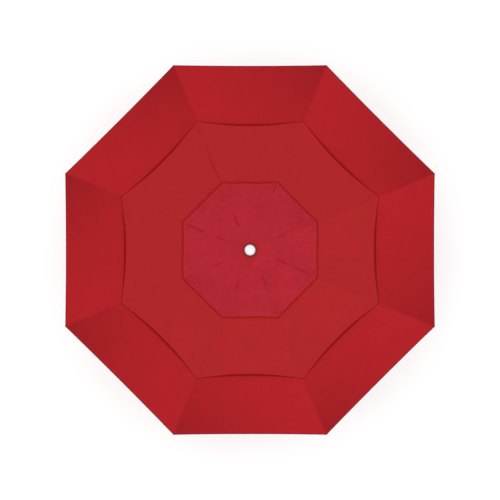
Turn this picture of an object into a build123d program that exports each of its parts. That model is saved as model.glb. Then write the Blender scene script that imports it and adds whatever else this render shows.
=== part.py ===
from build123d import *
from math import atan, cos, radians, sin, sqrt, tan
import os

os.makedirs("parts", exist_ok=True)

# Garden umbrella of the market kind: an eight-rib folding canopy in three vented
# tiers, a two-piece pole with a crank and a tilt joint, and a weighted round stand.
# Millimetres, +Z up, origin on the ground under the middle of the stand.

# --- Canopy -----------------------------------------------------------------
canopy_radius = 1320.0  # axis to a hem corner
rib_count = 8
first_rib_angle = 22.5
rib_slope = 21.5  # degrees below level
hub_height = 2400.0  # rib pivots above the ground
hem_margin = 8.0  # rib tip to hem corner, level
fabric = 1.2  # upright thickness of a canopy tier
fabric_lift = 0.9  # fabric above the middle of the ribs that carry it
skirt_inner_radius = 845.0
middle_radius = 894.0
middle_inner_radius = 425.0
cap_radius = 467.0
middle_vent = 10.0  # hem of the middle tier above the ribs
cap_vent = 11.0  # hem of the cap above the ribs
cap_rim = 6.0  # flat top of the cap beyond the hub

# --- Pole -------------------------------------------------------------------
pole_od = 38.0
pole_wall = 1.6
plug_gap = 0.1  # radial play of a plug in the pole
spigot_reach = 100.0  # inner sleeve each side of the pole's joint
spigot_wall = 1.8
snap_r = 3.9
snap_gap = 0.1
snap_drop = 20.0  # snap button below the pole's joint
snap_proud = 1.0
snap_flange = 1.5  # wider than the button, so that it can't fall out

# --- Hub and runner ---------------------------------------------------------
core_wall = 9.5
tongue_r = 6.5
tongue_room = 3.0
flange_rim = 11.0
hub_flange = 9.0  # half heights
runner_flange = 8.0
hub_drop = 50.0
hub_rise = 22.0
hub_socket = 20.0  # pole end below the rib pivots
runner_drop = 45.0
runner_rise = 14.0
runner_play = 2.2  # radial, so that the runner passes the tilt button
slot_floor = 2.0  # flange left inside each slot
tongue_width = 7.0
tongue_gap = 0.3
pin_r = 2.0
pin_gap = 0.05
pin_half = 11.0
edge_break = 1.0

# --- Ribs and struts --------------------------------------------------------
rib_width = 10.0
rib_depth = 16.0
rib_wall = 1.0
rib_corner = 2.5
strut_width = 8.0
strut_depth = 12.0
strut_wall = 1.0
strut_corner = 2.0
strut_drop = 18.0  # strut pin below the rib's middle line
strut_tongue_r = 5.5
rib_shoulder_start = 20.0
strut_shoulder_start = 18.0
shoulder = 2.0
insert_length = 36.0
insert_gap = 0.1
seat_gap = 0.05
tip_length = 14.0
tip_round = 4.0
saddle_half = 25.0
saddle_plate = 2.0
saddle_floor = 2.5
saddle_top = 6.0  # above the rib's middle line
ear_r = 6.5
rivet_r = 1.9
rivet_spread = 17.0
rivet_head_r = 3.2
rivet_head = 1.0

# --- Crank ------------------------------------------------------------------
crank_reach = 110.0
crank_clear = 27.0  # grip's sweep to the rib tips of the folded canopy
park_gap = 140.0  # parked runner above the crank housing
housing_width = 64.0
housing_front = 50.0
housing_back = 30.0
housing_height = 110.0
housing_wall = 3.0
housing_corner = 10.0
housing_round = 6.0
shaft_r = 5.0
shaft_gap = 0.05
shaft_seat = 0.02
bearing_r = 9.0
shaft_end_gap = 3.0
spool_clear = 3.4  # spool flange to the pole's bore
spool_half = 10.0
spool_flange = 1.5
spool_core = 8.0
winding = 2.0
winding_gap = 0.05
arm_gap = 2.0
arm_thick = 9.0
arm_width = 16.0
arm_hub_r = 12.0
arm_eye_r = 10.0
stud_r = 4.0
grip_r = 13.0
grip_length = 62.0
grip_waist = 2.0
grip_end_gap = 0.3
stud_cap_r = 8.0
stud_cap = 3.0
screw_r = 2.0
screw_gap = 0.05
screw_head_r = 3.6
screw_head = 2.6
screw_sink = 4.0
screw_length = 34.0
screw_boss_r = 5.0
screw_inset = 7.5
screw_rise = 42.0
hex_socket = 2.4
hex_depth = 1.2

# --- Lift cord --------------------------------------------------------------
cord_r = 1.5
cord_gap = 0.05
cord_hole_r = 2.2
cord_passage_r = 3.0
pulley_rim = 1.5  # rim above the cord's middle line
pulley_half = 3.5
pulley_side = 0.5
pulley_pin_r = 2.5
pulley_pin_half = 12.0
pocket_room = 1.25
cord_tail = 20.0  # cord end below the runner's pivots

# --- Tilt joint -------------------------------------------------------------
knuckle_r = 12.0
knuckle_room = 2.0
tilt_tongue_cheek = 8.8  # pole surface to the tongue's face
tilt_gap = 0.3
tilt_pin_r = 3.0
tilt_pin_start = 4.5
tilt_pin_inset = 1.1
tilt_neck = 14.0
tilt_body = 36.0
tilt_plug = 40.0
tilt_below_runner = 22.0
cord_swing = 9.0  # half length of the slot the cord needs when tilted
button_r = 7.0
button_gap = 0.1
button_proud = 1.5
button_length = 5.9
button_travel = 3.1

# --- Finial -----------------------------------------------------------------
stud_top_r = 8.0
stud_top = 20.0
finial_base_r = 17.0
finial_base = 4.0
finial_neck_r = 11.0
finial_ball_r = 33.0
finial_ball_rise = 43.0

# --- Stand ------------------------------------------------------------------
foot_r = 14.0
foot_height = 6.0
foot_circle = 200.0
foot_count = 6
plate_thick = 3.0
plate_gap = 0.5
base_radius = 250.0
base_edge = 16.0
base_top = 70.0
base_top_r = 75.0
base_wall = 3.0
ballast_gap = 0.3
stem_wall = 2.5
stem_height = 400.0
stem_gap = 0.3
stem_flange_r = 60.0
stem_flange = 5.0
sleeve_wall = 2.1
sleeve_gap = 0.1
sleeve_play = 0.3
sleeve_length = 150.0
collar_rim = 5.0
collar_height = 14.0
cup_play = 0.3
cup_seat = 16.7
cup_spigot = 34.0
cup_spigot_gap = 0.4
cup_wall = 3.0
clamp_height = 330.0
clamp_boss_r = 11.0
clamp_boss = 16.0
clamp_stud_r = 3.95
clamp_thread_gap = 0.05
clamp_free = 0.6
clamp_tip_gap = 0.3
knob_r = 20.0
knob_thick = 18.0
knob_stand = 4.0
knob_lobes = 6
knob_lobe_r = 6.0
bolt_circle = 90.0
bolt_count = 4
bolt_r = 4.0
bolt_play = 0.2
bolt_depth = 40.0
bolt_head = 5.3
bolt_head_r = 7.2

# --- Worked out -------------------------------------------------------------
slope = radians(rib_slope)
pole_r = pole_od / 2
bore_r = pole_r - pole_wall
plug_r = bore_r - plug_gap
core_r = pole_r + core_wall
pivot_r = core_r + tongue_r + tongue_room
flange_r = pivot_r + flange_rim
slot_r = core_r + slot_floor
slot_width = tongue_width + 2 * tongue_gap
pin_hole_r = pin_r + pin_gap
rib_length = (canopy_radius - hem_margin - pivot_r) / cos(slope)
rib_start = rib_shoulder_start + shoulder
rib_end = rib_length - tip_length

crank_height = hub_height - rib_length - crank_reach - grip_r - crank_clear
housing_low = crank_height - housing_height / 2
runner_parked = housing_low + housing_height + park_gap + runner_drop
strut_length = (hub_height - runner_parked) / 2
strut_seat = sqrt(strut_length**2 - strut_drop**2)
strut_angle = slope + atan(strut_drop / strut_seat)
runner_height = hub_height - 2 * strut_length * sin(strut_angle)

neck_seat = tilt_neck + tilt_body
tilt_height = runner_height - runner_drop - tilt_below_runner - neck_seat
stem_top = stem_height + collar_height
pole_joint = (stem_top + housing_low) / 2
cup_low = foot_height + plate_thick + cup_play
pole_foot = cup_low + cup_seat
pole_top = hub_height - hub_socket
pulley_r = (core_r - cord_hole_r - 1.8) / 2  # the falling cord runs inside the hub's wall
hub_top = hub_height + hub_rise
cap_top = hub_top + fabric_lift + fabric

stem_bore_r = pole_r + sleeve_play + sleeve_wall + sleeve_gap
stem_r = stem_bore_r + stem_wall
shell_low = foot_height
plate_top = foot_height + plate_thick

rib_side = Plane(
    origin=(pivot_r, 0, hub_height),
    x_dir=(cos(slope), 0, -sin(slope)),
    z_dir=(0, -1, 0),
)
strut_side = Plane(
    origin=(pivot_r, 0, runner_height),
    x_dir=(cos(strut_angle), 0, sin(strut_angle)),
    z_dir=(0, -1, 0),
)


def across(side, reach):
    """Plane square to a rib or strut, at a distance along it."""
    return Plane(
        origin=side.from_local_coords((reach, 0, 0)),
        x_dir=(0, 1, 0),
        z_dir=side.x_dir,
    )


def rib_top(radius):
    """Height of the ribs' top face at a distance from the axis."""
    return hub_height + rib_depth / 2 / cos(slope) - (radius - pivot_r) * tan(slope)


def tube(low, high, outer, inner):
    """Upright round tube between two heights."""
    with BuildPart() as piece:
        with BuildSketch(Plane.XY.offset(low)):
            Circle(outer)
            Circle(inner, mode=Mode.SUBTRACT)
        extrude(amount=high - low)
    return piece.part


def spider(height, below, above, half_flange):
    """Round core with a slotted flange, and a pin hole across each slot."""
    with BuildPart() as piece:
        with BuildSketch(Plane.XY.offset(height - below)):
            Circle(core_r)
        extrude(amount=below + above)
        chamfer(piece.faces().sort_by(Axis.Z)[0].edges(), edge_break)
        with BuildSketch(Plane.XY.offset(height - half_flange)):
            Circle(flange_r)
        extrude(amount=2 * half_flange)
        fillet(piece.edges().filter_by(GeomType.CIRCLE).group_by(SortBy.RADIUS)[-1], 2 * edge_break)
        with Locations((0, 0, height)):
            with PolarLocations(slot_r, rib_count, start_angle=first_rib_angle):
                Box(
                    flange_r,
                    slot_width,
                    3 * half_flange,
                    align=(Align.MIN, Align.CENTER, Align.CENTER),
                    mode=Mode.SUBTRACT,
                )
            with PolarLocations(pivot_r, rib_count, start_angle=first_rib_angle):
                with Locations((0, -pin_half, 0)):
                    Cylinder(
                        pin_hole_r,
                        pin_half + flange_r,
                        rotation=(-90, 0, 0),
                        align=(Align.CENTER, Align.CENTER, Align.MIN),
                        mode=Mode.SUBTRACT,
                    )
    return piece.part


def tongue_end(side, start, radius, width, depth, corner, wall):
    """Flat eye on the pivot, a shoulder, and an insert inside the tube's end."""
    with BuildPart() as piece:
        with BuildSketch(side):
            Circle(radius)
            with Locations((start / 2, 0)):
                Rectangle(start, 2 * radius - 2 * edge_break)
            Circle(pin_hole_r, mode=Mode.SUBTRACT)
        extrude(amount=tongue_width / 2, both=True)
        with BuildSketch(across(side, start)):
            RectangleRounded(width, depth, corner)
        extrude(amount=shoulder)
        inset = 2 * (wall + insert_gap)
        with BuildSketch(across(side, start + shoulder)):
            RectangleRounded(width - inset, depth - inset, corner - wall)
        extrude(amount=insert_length)
    return piece.part


def tier(outer, inner, low, high):
    """Eight-sided canopy tier of even fabric between two rings."""
    run = fabric * (outer - inner) / (high - low)
    with BuildPart() as piece:
        for radius, height in ((outer, low), (inner, high)):
            with BuildSketch(Plane.XY.offset(height)):
                RegularPolygon(radius, rib_count, rotation=first_rib_angle)
        loft(ruled=True)
        for radius, height in ((outer - run, low), (inner - run, high)):
            with BuildSketch(Plane.XY.offset(height)):
                RegularPolygon(radius, rib_count, rotation=first_rib_angle)
        loft(ruled=True, mode=Mode.SUBTRACT)
    return piece.part


# --- Stand: feet, plate, ballast and shell ----------------------------------
with BuildPart() as base_feet:
    with BuildSketch():
        with PolarLocations(foot_circle, foot_count):
            Circle(foot_r)
    extrude(amount=foot_height)
    chamfer(base_feet.faces().sort_by(Axis.Z)[: foot_count].edges(), edge_break)
base_feet.part.label = "base_feet"
export_step(base_feet.part, "parts/base_feet.step")

with BuildPart() as base_plate:
    with BuildSketch(Plane.XY.offset(foot_height)):
        Circle(base_radius - base_wall - plate_gap)
    extrude(amount=plate_thick)
base_plate.part.label = "base_plate"
export_step(base_plate.part, "parts/base_plate.step")


def dome(radius, low, edge, top, top_r, hole):
    """Half section of a low round body with a sloping top, about the stand's axis."""
    with BuildLine() as outline:
        rim = Line((hole, low), (radius, low))
        side = Line(rim @ 1, (radius, low + edge))
        brow = Spline(side @ 1, (top_r, top), tangents=((0, 1), (-1, 0)), tangent_scalars=(0.35, 1.0))
        roof = Line(brow @ 1, (hole, top))
        Line(roof @ 1, rim @ 0)
    return outline.line


with BuildPart() as base_shell:
    with BuildSketch(Plane.XZ):
        with BuildLine():
            add(dome(base_radius, shell_low, base_edge, base_top, base_top_r, stem_r + stem_gap))
        make_face()
        with BuildLine():
            add(
                dome(
                    base_radius - base_wall,
                    shell_low,
                    base_edge - edge_break,
                    base_top - base_wall,
                    base_top_r,
                    stem_r + stem_gap,
                )
            )
        make_face(mode=Mode.SUBTRACT)
    revolve(axis=Axis.Z)
    with Locations(Plane.XY.offset(base_top)):
        with PolarLocations(bolt_circle / 2, bolt_count, start_angle=45):
            Hole(bolt_r + bolt_play)
base_shell.part.label = "base_shell"
export_step(base_shell.part, "parts/base_shell.step")

with BuildPart() as base_ballast:
    with BuildSketch(Plane.XZ):
        with BuildLine():
            add(
                dome(
                    base_radius - base_wall - plate_gap,
                    plate_top,
                    base_edge - foot_height / 2 - edge_break,
                    base_top - base_wall - ballast_gap,
                    base_top_r,
                    stem_r + stem_gap,
                )
            )
        make_face()
    revolve(axis=Axis.Z)
    with Locations(Plane.XY.offset(base_top - base_wall - ballast_gap)):
        with PolarLocations(bolt_circle / 2, bolt_count, start_angle=45):
            Hole(bolt_r + pin_gap, depth=bolt_depth - base_wall)
base_ballast.part.label = "base_ballast"
export_step(base_ballast.part, "parts/base_ballast.step")

# --- Stand: stem with its clamp ---------------------------------------------
with BuildPart() as stem_tube:
    with BuildSketch(Plane.XY.offset(plate_top)):
        Circle(stem_r)
    extrude(amount=stem_height - plate_top)
    with BuildSketch(Plane.XY.offset(base_top)):
        Circle(stem_flange_r)
        with PolarLocations(bolt_circle / 2, bolt_count, start_angle=45):
            Circle(bolt_r + bolt_play, mode=Mode.SUBTRACT)
    extrude(amount=stem_flange)
    with BuildSketch(Plane.YZ):
        with Locations((0, clamp_height)):
            Circle(clamp_boss_r)
    extrude(amount=stem_r + clamp_boss)
    with BuildSketch(Plane.XY.offset(plate_top)):
        Circle(stem_bore_r)
    extrude(amount=stem_height - plate_top, mode=Mode.SUBTRACT)
    with BuildSketch(Plane.YZ):
        with Locations((0, clamp_height)):
            Circle(clamp_stud_r + clamp_thread_gap)
    extrude(amount=stem_r + clamp_boss, mode=Mode.SUBTRACT)
stem_tube.part.label = "stem_tube"
export_step(stem_tube.part, "parts/stem_tube.step")

with BuildPart() as stem_bolts:
    with BuildSketch(Plane.XY.offset(base_top + stem_flange)):
        with PolarLocations(bolt_circle / 2, bolt_count, start_angle=45):
            RegularPolygon(bolt_head_r, 6)
    extrude(amount=bolt_head)
    with BuildSketch(Plane.XY.offset(base_top + stem_flange - bolt_depth)):
        with PolarLocations(bolt_circle / 2, bolt_count, start_angle=45):
            Circle(bolt_r)
    extrude(amount=bolt_depth)
stem_bolts.part.label = "stem_bolts"
export_step(stem_bolts.part, "parts/stem_bolts.step")

with BuildPart() as stem_sleeve:
    with BuildSketch(Plane.XY.offset(stem_height - sleeve_length)):
        Circle(stem_bore_r - sleeve_gap)
    extrude(amount=sleeve_length)
    with BuildSketch(Plane.XY.offset(stem_height)):
        Circle(stem_r + collar_rim)
    extrude(amount=collar_height)
    fillet(stem_sleeve.faces().sort_by(Axis.Z)[-1].edges(), 2 * edge_break)
    with BuildSketch(Plane.XY.offset(stem_height - sleeve_length)):
        Circle(pole_r + sleeve_play)
    extrude(amount=sleeve_length + collar_height, mode=Mode.SUBTRACT)
    with BuildSketch(Plane.YZ):
        with Locations((0, clamp_height)):
            Circle(clamp_stud_r + clamp_free)
    extrude(amount=stem_r, mode=Mode.SUBTRACT)
stem_sleeve.part.label = "stem_sleeve"
export_step(stem_sleeve.part, "parts/stem_sleeve.step")

knob_start = stem_r + clamp_boss + knob_stand
with BuildPart() as clamp_knob:
    with BuildSketch(Plane.YZ.offset(pole_r + clamp_tip_gap)):
        with Locations((0, clamp_height)):
            Circle(clamp_stud_r)
    extrude(amount=knob_start - pole_r - clamp_tip_gap)
    with BuildSketch(Plane.YZ.offset(knob_start)):
        with Locations((0, clamp_height)):
            Circle(knob_r - knob_lobe_r / 2)
            with PolarLocations(knob_r - knob_lobe_r, knob_lobes):
                Circle(knob_lobe_r)
    extrude(amount=knob_thick)
    chamfer(clamp_knob.faces().sort_by(Axis.X)[-1].edges(), 2 * edge_break)
clamp_knob.part.label = "clamp_knob"
export_step(clamp_knob.part, "parts/clamp_knob.step")

# --- Pole seat at the foot of the stem --------------------------------------
with BuildPart() as pole_cup:
    with BuildSketch(Plane.XY.offset(cup_low)):
        Circle(stem_bore_r - cup_play)
    extrude(amount=cup_seat)
    with BuildSketch(Plane.XY.offset(pole_foot)):
        Circle(bore_r - cup_spigot_gap)
    extrude(amount=cup_spigot)
    chamfer(pole_cup.faces().sort_by(Axis.Z)[-1].edges(), 2 * edge_break)
    with BuildSketch(Plane.XY.offset(cup_low + cup_wall)):
        Circle(bore_r - cup_spigot_gap - cup_wall)
    extrude(amount=cup_seat + cup_spigot, mode=Mode.SUBTRACT)
pole_cup.part.label = "pole_cup"
export_step(pole_cup.part, "parts/pole_cup.step")

# --- Lower and middle pole, their joint and its snap button -----------------
snap_height = pole_joint - snap_drop
spigot_bore_r = plug_r - spigot_wall
snap_plane = Plane.YZ.offset(0)

with BuildPart() as lower_pole:
    add(tube(pole_foot, pole_joint, pole_r, bore_r))
    with BuildSketch(snap_plane):
        with Locations((0, snap_height)):
            Circle(snap_r + snap_gap)
    extrude(amount=pole_od, mode=Mode.SUBTRACT)
lower_pole.part.label = "lower_pole"
export_step(lower_pole.part, "parts/lower_pole.step")

with BuildPart() as pole_spigot:
    add(tube(pole_joint - spigot_reach, pole_joint + spigot_reach, plug_r, spigot_bore_r))
    with BuildSketch(snap_plane):
        with Locations((0, snap_height)):
            Circle(snap_r + snap_gap)
    extrude(amount=pole_od, mode=Mode.SUBTRACT)
pole_spigot.part.label = "pole_spigot"
export_step(pole_spigot.part, "parts/pole_spigot.step")

snap_flange_r = snap_r + snap_flange
snap_seat = sqrt(spigot_bore_r**2 - snap_flange_r**2) - 2 * plug_gap
with BuildPart() as snap_button:
    with BuildSketch(snap_plane.offset(snap_seat - snap_flange)):
        with Locations((0, snap_height)):
            Circle(snap_flange_r)
    extrude(amount=snap_flange)
    with BuildSketch(snap_plane.offset(snap_seat)):
        with Locations((0, snap_height)):
            Circle(snap_r)
    extrude(amount=pole_r + snap_proud - snap_seat)
    fillet(snap_button.faces().sort_by(Axis.X)[-1].edges(), edge_break)
snap_button.part.label = "snap_button"
export_step(snap_button.part, "parts/snap_button.step")

socket_seat = tilt_height - 2 * tilt_neck
with BuildPart() as middle_pole:
    add(tube(pole_joint, socket_seat, pole_r, bore_r))
    with BuildSketch(Plane.XZ):
        with Locations((0, crank_height)):
            Circle(shaft_r + shaft_gap)
    extrude(amount=pole_od, both=True, mode=Mode.SUBTRACT)
middle_pole.part.label = "middle_pole"
export_step(middle_pole.part, "parts/middle_pole.step")

# --- Crank housing: two shells held by four screws --------------------------
housing_middle = (housing_back - housing_front) / 2
housing_depth = housing_front + housing_back
screw_spots = [
    (side * (housing_width / 2 - screw_inset), crank_height + lift * screw_rise)
    for side in (-1, 1)
    for lift in (-1, 1)
]
screw_seat = housing_back - screw_sink
with BuildPart() as housing:
    with BuildSketch(Plane.XY.offset(housing_low)):
        with Locations((0, housing_middle)):
            RectangleRounded(housing_width, housing_depth, housing_corner)
    extrude(amount=housing_height)
    ends = housing.faces().filter_by(Axis.Z)
    fillet(ends.edges(), housing_round)
    with BuildSketch(Plane.XY.offset(housing_low + housing_wall)):
        with Locations((0, housing_middle)):
            RectangleRounded(
                housing_width - 2 * housing_wall,
                housing_depth - 2 * housing_wall,
                housing_corner - housing_wall,
            )
    extrude(amount=housing_height - 2 * housing_wall, mode=Mode.SUBTRACT)
    with BuildSketch(Plane.XZ.offset(housing_wall - housing_back)):
        with Locations((0, crank_height)):
            Circle(bearing_r)
        with Locations(*screw_spots):
            Circle(screw_boss_r)
    extrude(amount=housing_depth - 2 * housing_wall)
    with BuildSketch(Plane.XZ.offset(shaft_end_gap + housing_wall - housing_back)):
        with Locations((0, crank_height)):
            Circle(shaft_r + shaft_gap)
    extrude(amount=housing_depth, mode=Mode.SUBTRACT)
    with BuildSketch(Plane.XY.offset(housing_low)):
        Circle(pole_r)
    extrude(amount=housing_height, mode=Mode.SUBTRACT)
    with BuildSketch(Plane.XZ.offset(-housing_back)):
        with Locations(*screw_spots):
            Circle(screw_head_r + screw_gap)
    extrude(amount=screw_sink, mode=Mode.SUBTRACT)
    with BuildSketch(Plane.XZ.offset(-housing_back)):
        with Locations(*screw_spots):
            Circle(screw_r + screw_gap)
    extrude(amount=screw_sink + screw_length + edge_break, mode=Mode.SUBTRACT)

with BuildPart() as crank_housing_front:
    add(housing.part)
    split(bisect_by=Plane.XZ, keep=Keep.TOP)
crank_housing_front.part.label = "crank_housing_front"
export_step(crank_housing_front.part, "parts/crank_housing_front.step")

with BuildPart() as crank_housing_back:
    add(housing.part)
    split(bisect_by=Plane.XZ, keep=Keep.BOTTOM)
crank_housing_back.part.label = "crank_housing_back"
export_step(crank_housing_back.part, "parts/crank_housing_back.step")

with BuildPart() as housing_screws:
    with BuildSketch(Plane.XZ.offset(-screw_seat - screw_head)):
        with Locations(*screw_spots):
            Circle(screw_head_r)
    extrude(amount=screw_head)
    with BuildSketch(Plane.XZ.offset(-screw_seat - screw_head)):
        with Locations(*screw_spots):
            RegularPolygon(hex_socket, 6)
    extrude(amount=hex_depth, mode=Mode.SUBTRACT)
    with BuildSketch(Plane.XZ.offset(-screw_seat)):
        with Locations(*screw_spots):
            Circle(screw_r)
    extrude(amount=screw_length)
housing_screws.part.label = "housing_screws"
export_step(housing_screws.part, "parts/housing_screws.step")

# --- Crank: shaft, spool with the wound cord, arm and grip -------------------
arm_face = housing_front + arm_gap
shaft_tip = housing_back - housing_wall - shaft_end_gap - shaft_gap
with BuildPart() as crank_shaft:
    with BuildSketch(Plane.XZ.offset(-shaft_tip)):
        with Locations((0, crank_height)):
            Circle(shaft_r)
    extrude(amount=shaft_tip + arm_face + arm_thick)
    chamfer(crank_shaft.faces().sort_by(Axis.Y)[0].edges(), edge_break)
crank_shaft.part.label = "crank_shaft"
export_step(crank_shaft.part, "parts/crank_shaft.step")

spool_r = bore_r - spool_clear
winding_r = spool_core + winding
with BuildPart() as cord_spool:
    with BuildSketch(Plane.XZ.offset(-spool_half)):
        with Locations((0, crank_height)):
            Circle(spool_core)
            Circle(shaft_r + shaft_seat, mode=Mode.SUBTRACT)
    extrude(amount=2 * spool_half)
    for start in (-spool_half, spool_half - spool_flange):
        with BuildSketch(Plane.XZ.offset(start)):
            with Locations((0, crank_height)):
                Circle(spool_r)
                Circle(shaft_r + shaft_seat, mode=Mode.SUBTRACT)
        extrude(amount=spool_flange)
    coil_half = spool_half - spool_flange - winding_gap
    with BuildSketch(Plane.XZ.offset(-coil_half)):
        with Locations((0, crank_height)):
            Circle(winding_r)
            Circle(spool_core + winding_gap, mode=Mode.SUBTRACT)
    extrude(amount=2 * coil_half)
cord_spool.part.label = "cord_spool"
export_step(cord_spool.part, "parts/cord_spool.step")

grip_face = arm_face + arm_thick + grip_end_gap
grip_low = crank_height - crank_reach
with BuildPart() as crank_arm:
    with BuildSketch(Plane.XZ.offset(arm_face)):
        with Locations((0, crank_height)):
            Circle(arm_hub_r)
        with Locations((0, grip_low)):
            Circle(arm_eye_r)
        with Locations((0, crank_height - crank_reach / 2)):
            Rectangle(arm_width, crank_reach)
        with Locations((0, crank_height)):
            Circle(shaft_r + shaft_seat, mode=Mode.SUBTRACT)
    extrude(amount=arm_thick)
    fillet(crank_arm.faces().sort_by(Axis.Y)[0].edges().filter_by(GeomType.LINE), edge_break)
    with BuildSketch(Plane.XZ.offset(arm_face + arm_thick)):
        with Locations((0, grip_low)):
            Circle(stud_r)
    extrude(amount=grip_length + 2 * grip_end_gap)
    with BuildSketch(Plane.XZ.offset(grip_face + grip_length + grip_end_gap)):
        with Locations((0, grip_low)):
            Circle(stud_cap_r)
    extrude(amount=stud_cap)
    fillet(crank_arm.faces().sort_by(Axis.Y)[0].edges(), edge_break)
crank_arm.part.label = "crank_arm"
export_step(crank_arm.part, "parts/crank_arm.step")

grip_plane = Plane(origin=(0, 0, grip_low), x_dir=(0, -1, 0), z_dir=(1, 0, 0))
with BuildPart() as crank_grip:
    with BuildSketch(grip_plane) as grip_half:
        with BuildLine():
            inner = Line((grip_face, stud_r + shaft_gap), (grip_face + grip_length, stud_r + shaft_gap))
            outer_end = Line(inner @ 1, (grip_face + grip_length, grip_r))
            waist = ThreePointArc(
                outer_end @ 1,
                (grip_face + grip_length / 2, grip_r - grip_waist),
                (grip_face, grip_r),
            )
            Line(waist @ 1, inner @ 0)
        make_face()
        fillet(grip_half.vertices().group_by(Axis.Y)[-1], 2 * edge_break)
    revolve(axis=Axis((0, 0, grip_low), (0, 1, 0)))
crank_grip.part.label = "crank_grip"
export_step(crank_grip.part, "parts/crank_grip.step")

# --- Tilt joint: socket on the middle pole, head on the upper pole ----------
tongue_half = pole_r - tilt_tongue_cheek
knuckle_space = knuckle_r + knuckle_room
with BuildPart() as tilt_socket:
    with BuildSketch(Plane.XY.offset(socket_seat)):
        Circle(pole_r)
    extrude(amount=tilt_height + knuckle_r - socket_seat)
    with BuildSketch(Plane.YZ):
        with Locations((0, (socket_seat + tilt_height - knuckle_space) / 2)):
            Rectangle(pole_od, tilt_height - knuckle_space - socket_seat)
        with Locations((0, tilt_height - knuckle_space / 2)):
            Rectangle(2 * knuckle_r, knuckle_space)
        with Locations((0, tilt_height)):
            Circle(knuckle_r)
    extrude(amount=pole_r, both=True, mode=Mode.INTERSECT)
    with Locations((0, 0, tilt_height - knuckle_space)):
        Box(
            2 * (tongue_half + tilt_gap),
            pole_od,
            knuckle_space + pole_r,
            align=(Align.CENTER, Align.CENTER, Align.MIN),
            mode=Mode.SUBTRACT,
        )
    with BuildSketch(Plane.XY.offset(socket_seat - tilt_plug)):
        Circle(plug_r)
    extrude(amount=tilt_plug)
    with BuildSketch(Plane.XY.offset(socket_seat - tilt_plug)):
        Circle(cord_passage_r)
    extrude(amount=tilt_plug + pole_od, mode=Mode.SUBTRACT)
    with BuildSketch(Plane.YZ):
        with Locations((0, tilt_height)):
            Circle(tilt_pin_r + pin_gap)
    extrude(amount=pole_r, both=True, mode=Mode.SUBTRACT)
tilt_socket.part.label = "tilt_socket"
export_step(tilt_socket.part, "parts/tilt_socket.step")

head_seat = tilt_height + neck_seat
button_height = tilt_height + tilt_neck + tilt_body / 2
with BuildPart() as tilt_head:
    with BuildSketch(Plane.XY.offset(tilt_height - knuckle_r)):
        Circle(pole_r)
    extrude(amount=head_seat - tilt_height + knuckle_r)
    with BuildSketch(Plane.YZ):
        with Locations((0, head_seat - tilt_body / 2)):
            Rectangle(pole_od, tilt_body)
        with Locations((0, tilt_height + tilt_neck / 2)):
            Rectangle(2 * knuckle_r, tilt_neck)
        with Locations((0, tilt_height)):
            Circle(knuckle_r)
    extrude(amount=pole_r, both=True, mode=Mode.INTERSECT)
    for side in (-1, 1):
        with Locations((side * (tongue_half + pole_r / 2), 0, tilt_height + tilt_neck)):
            Box(
                pole_r,
                pole_od,
                tilt_neck + knuckle_r,
                align=(Align.CENTER, Align.CENTER, Align.MAX),
                mode=Mode.SUBTRACT,
            )
    with BuildSketch(Plane.XY.offset(head_seat)):
        Circle(plug_r)
    extrude(amount=tilt_plug)
    with BuildSketch(Plane.XY.offset(tilt_height)):
        Circle(cord_passage_r)
    extrude(amount=neck_seat + tilt_plug, mode=Mode.SUBTRACT)
    with Locations((0, 0, tilt_height + cord_passage_r)):
        Box(
            2 * cord_passage_r,
            2 * cord_swing,
            knuckle_r + 2 * cord_passage_r,
            align=(Align.CENTER, Align.CENTER, Align.MAX),
            mode=Mode.SUBTRACT,
        )
    with BuildSketch(Plane.YZ):
        with Locations((0, tilt_height)):
            Circle(tilt_pin_r + pin_gap)
    extrude(amount=pole_r, both=True, mode=Mode.SUBTRACT)
    with BuildSketch(Plane.XZ.offset(pole_r + button_proud - button_length - button_travel)):
        with Locations((0, button_height)):
            Circle(button_r + button_gap)
    extrude(amount=pole_r, mode=Mode.SUBTRACT)
tilt_head.part.label = "tilt_head"
export_step(tilt_head.part, "parts/tilt_head.step")

with BuildPart() as tilt_pins:
    for start in (tilt_pin_start, tilt_pin_inset - pole_r):
        with BuildSketch(Plane.YZ.offset(start)):
            with Locations((0, tilt_height)):
                Circle(tilt_pin_r)
        extrude(amount=pole_r - tilt_pin_inset - tilt_pin_start)
tilt_pins.part.label = "tilt_pins"
export_step(tilt_pins.part, "parts/tilt_pins.step")

with BuildPart() as tilt_button:
    with BuildSketch(Plane.XZ.offset(pole_r + button_proud - button_length)):
        with Locations((0, button_height)):
            Circle(button_r)
    extrude(amount=button_length)
    fillet(tilt_button.faces().sort_by(Axis.Y)[0].edges(), edge_break)
tilt_button.part.label = "tilt_button"
export_step(tilt_button.part, "parts/tilt_button.step")

with BuildPart() as upper_pole:
    add(tube(head_seat, pole_top, pole_r, bore_r))
upper_pole.part.label = "upper_pole"
export_step(upper_pole.part, "parts/upper_pole.step")

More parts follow.
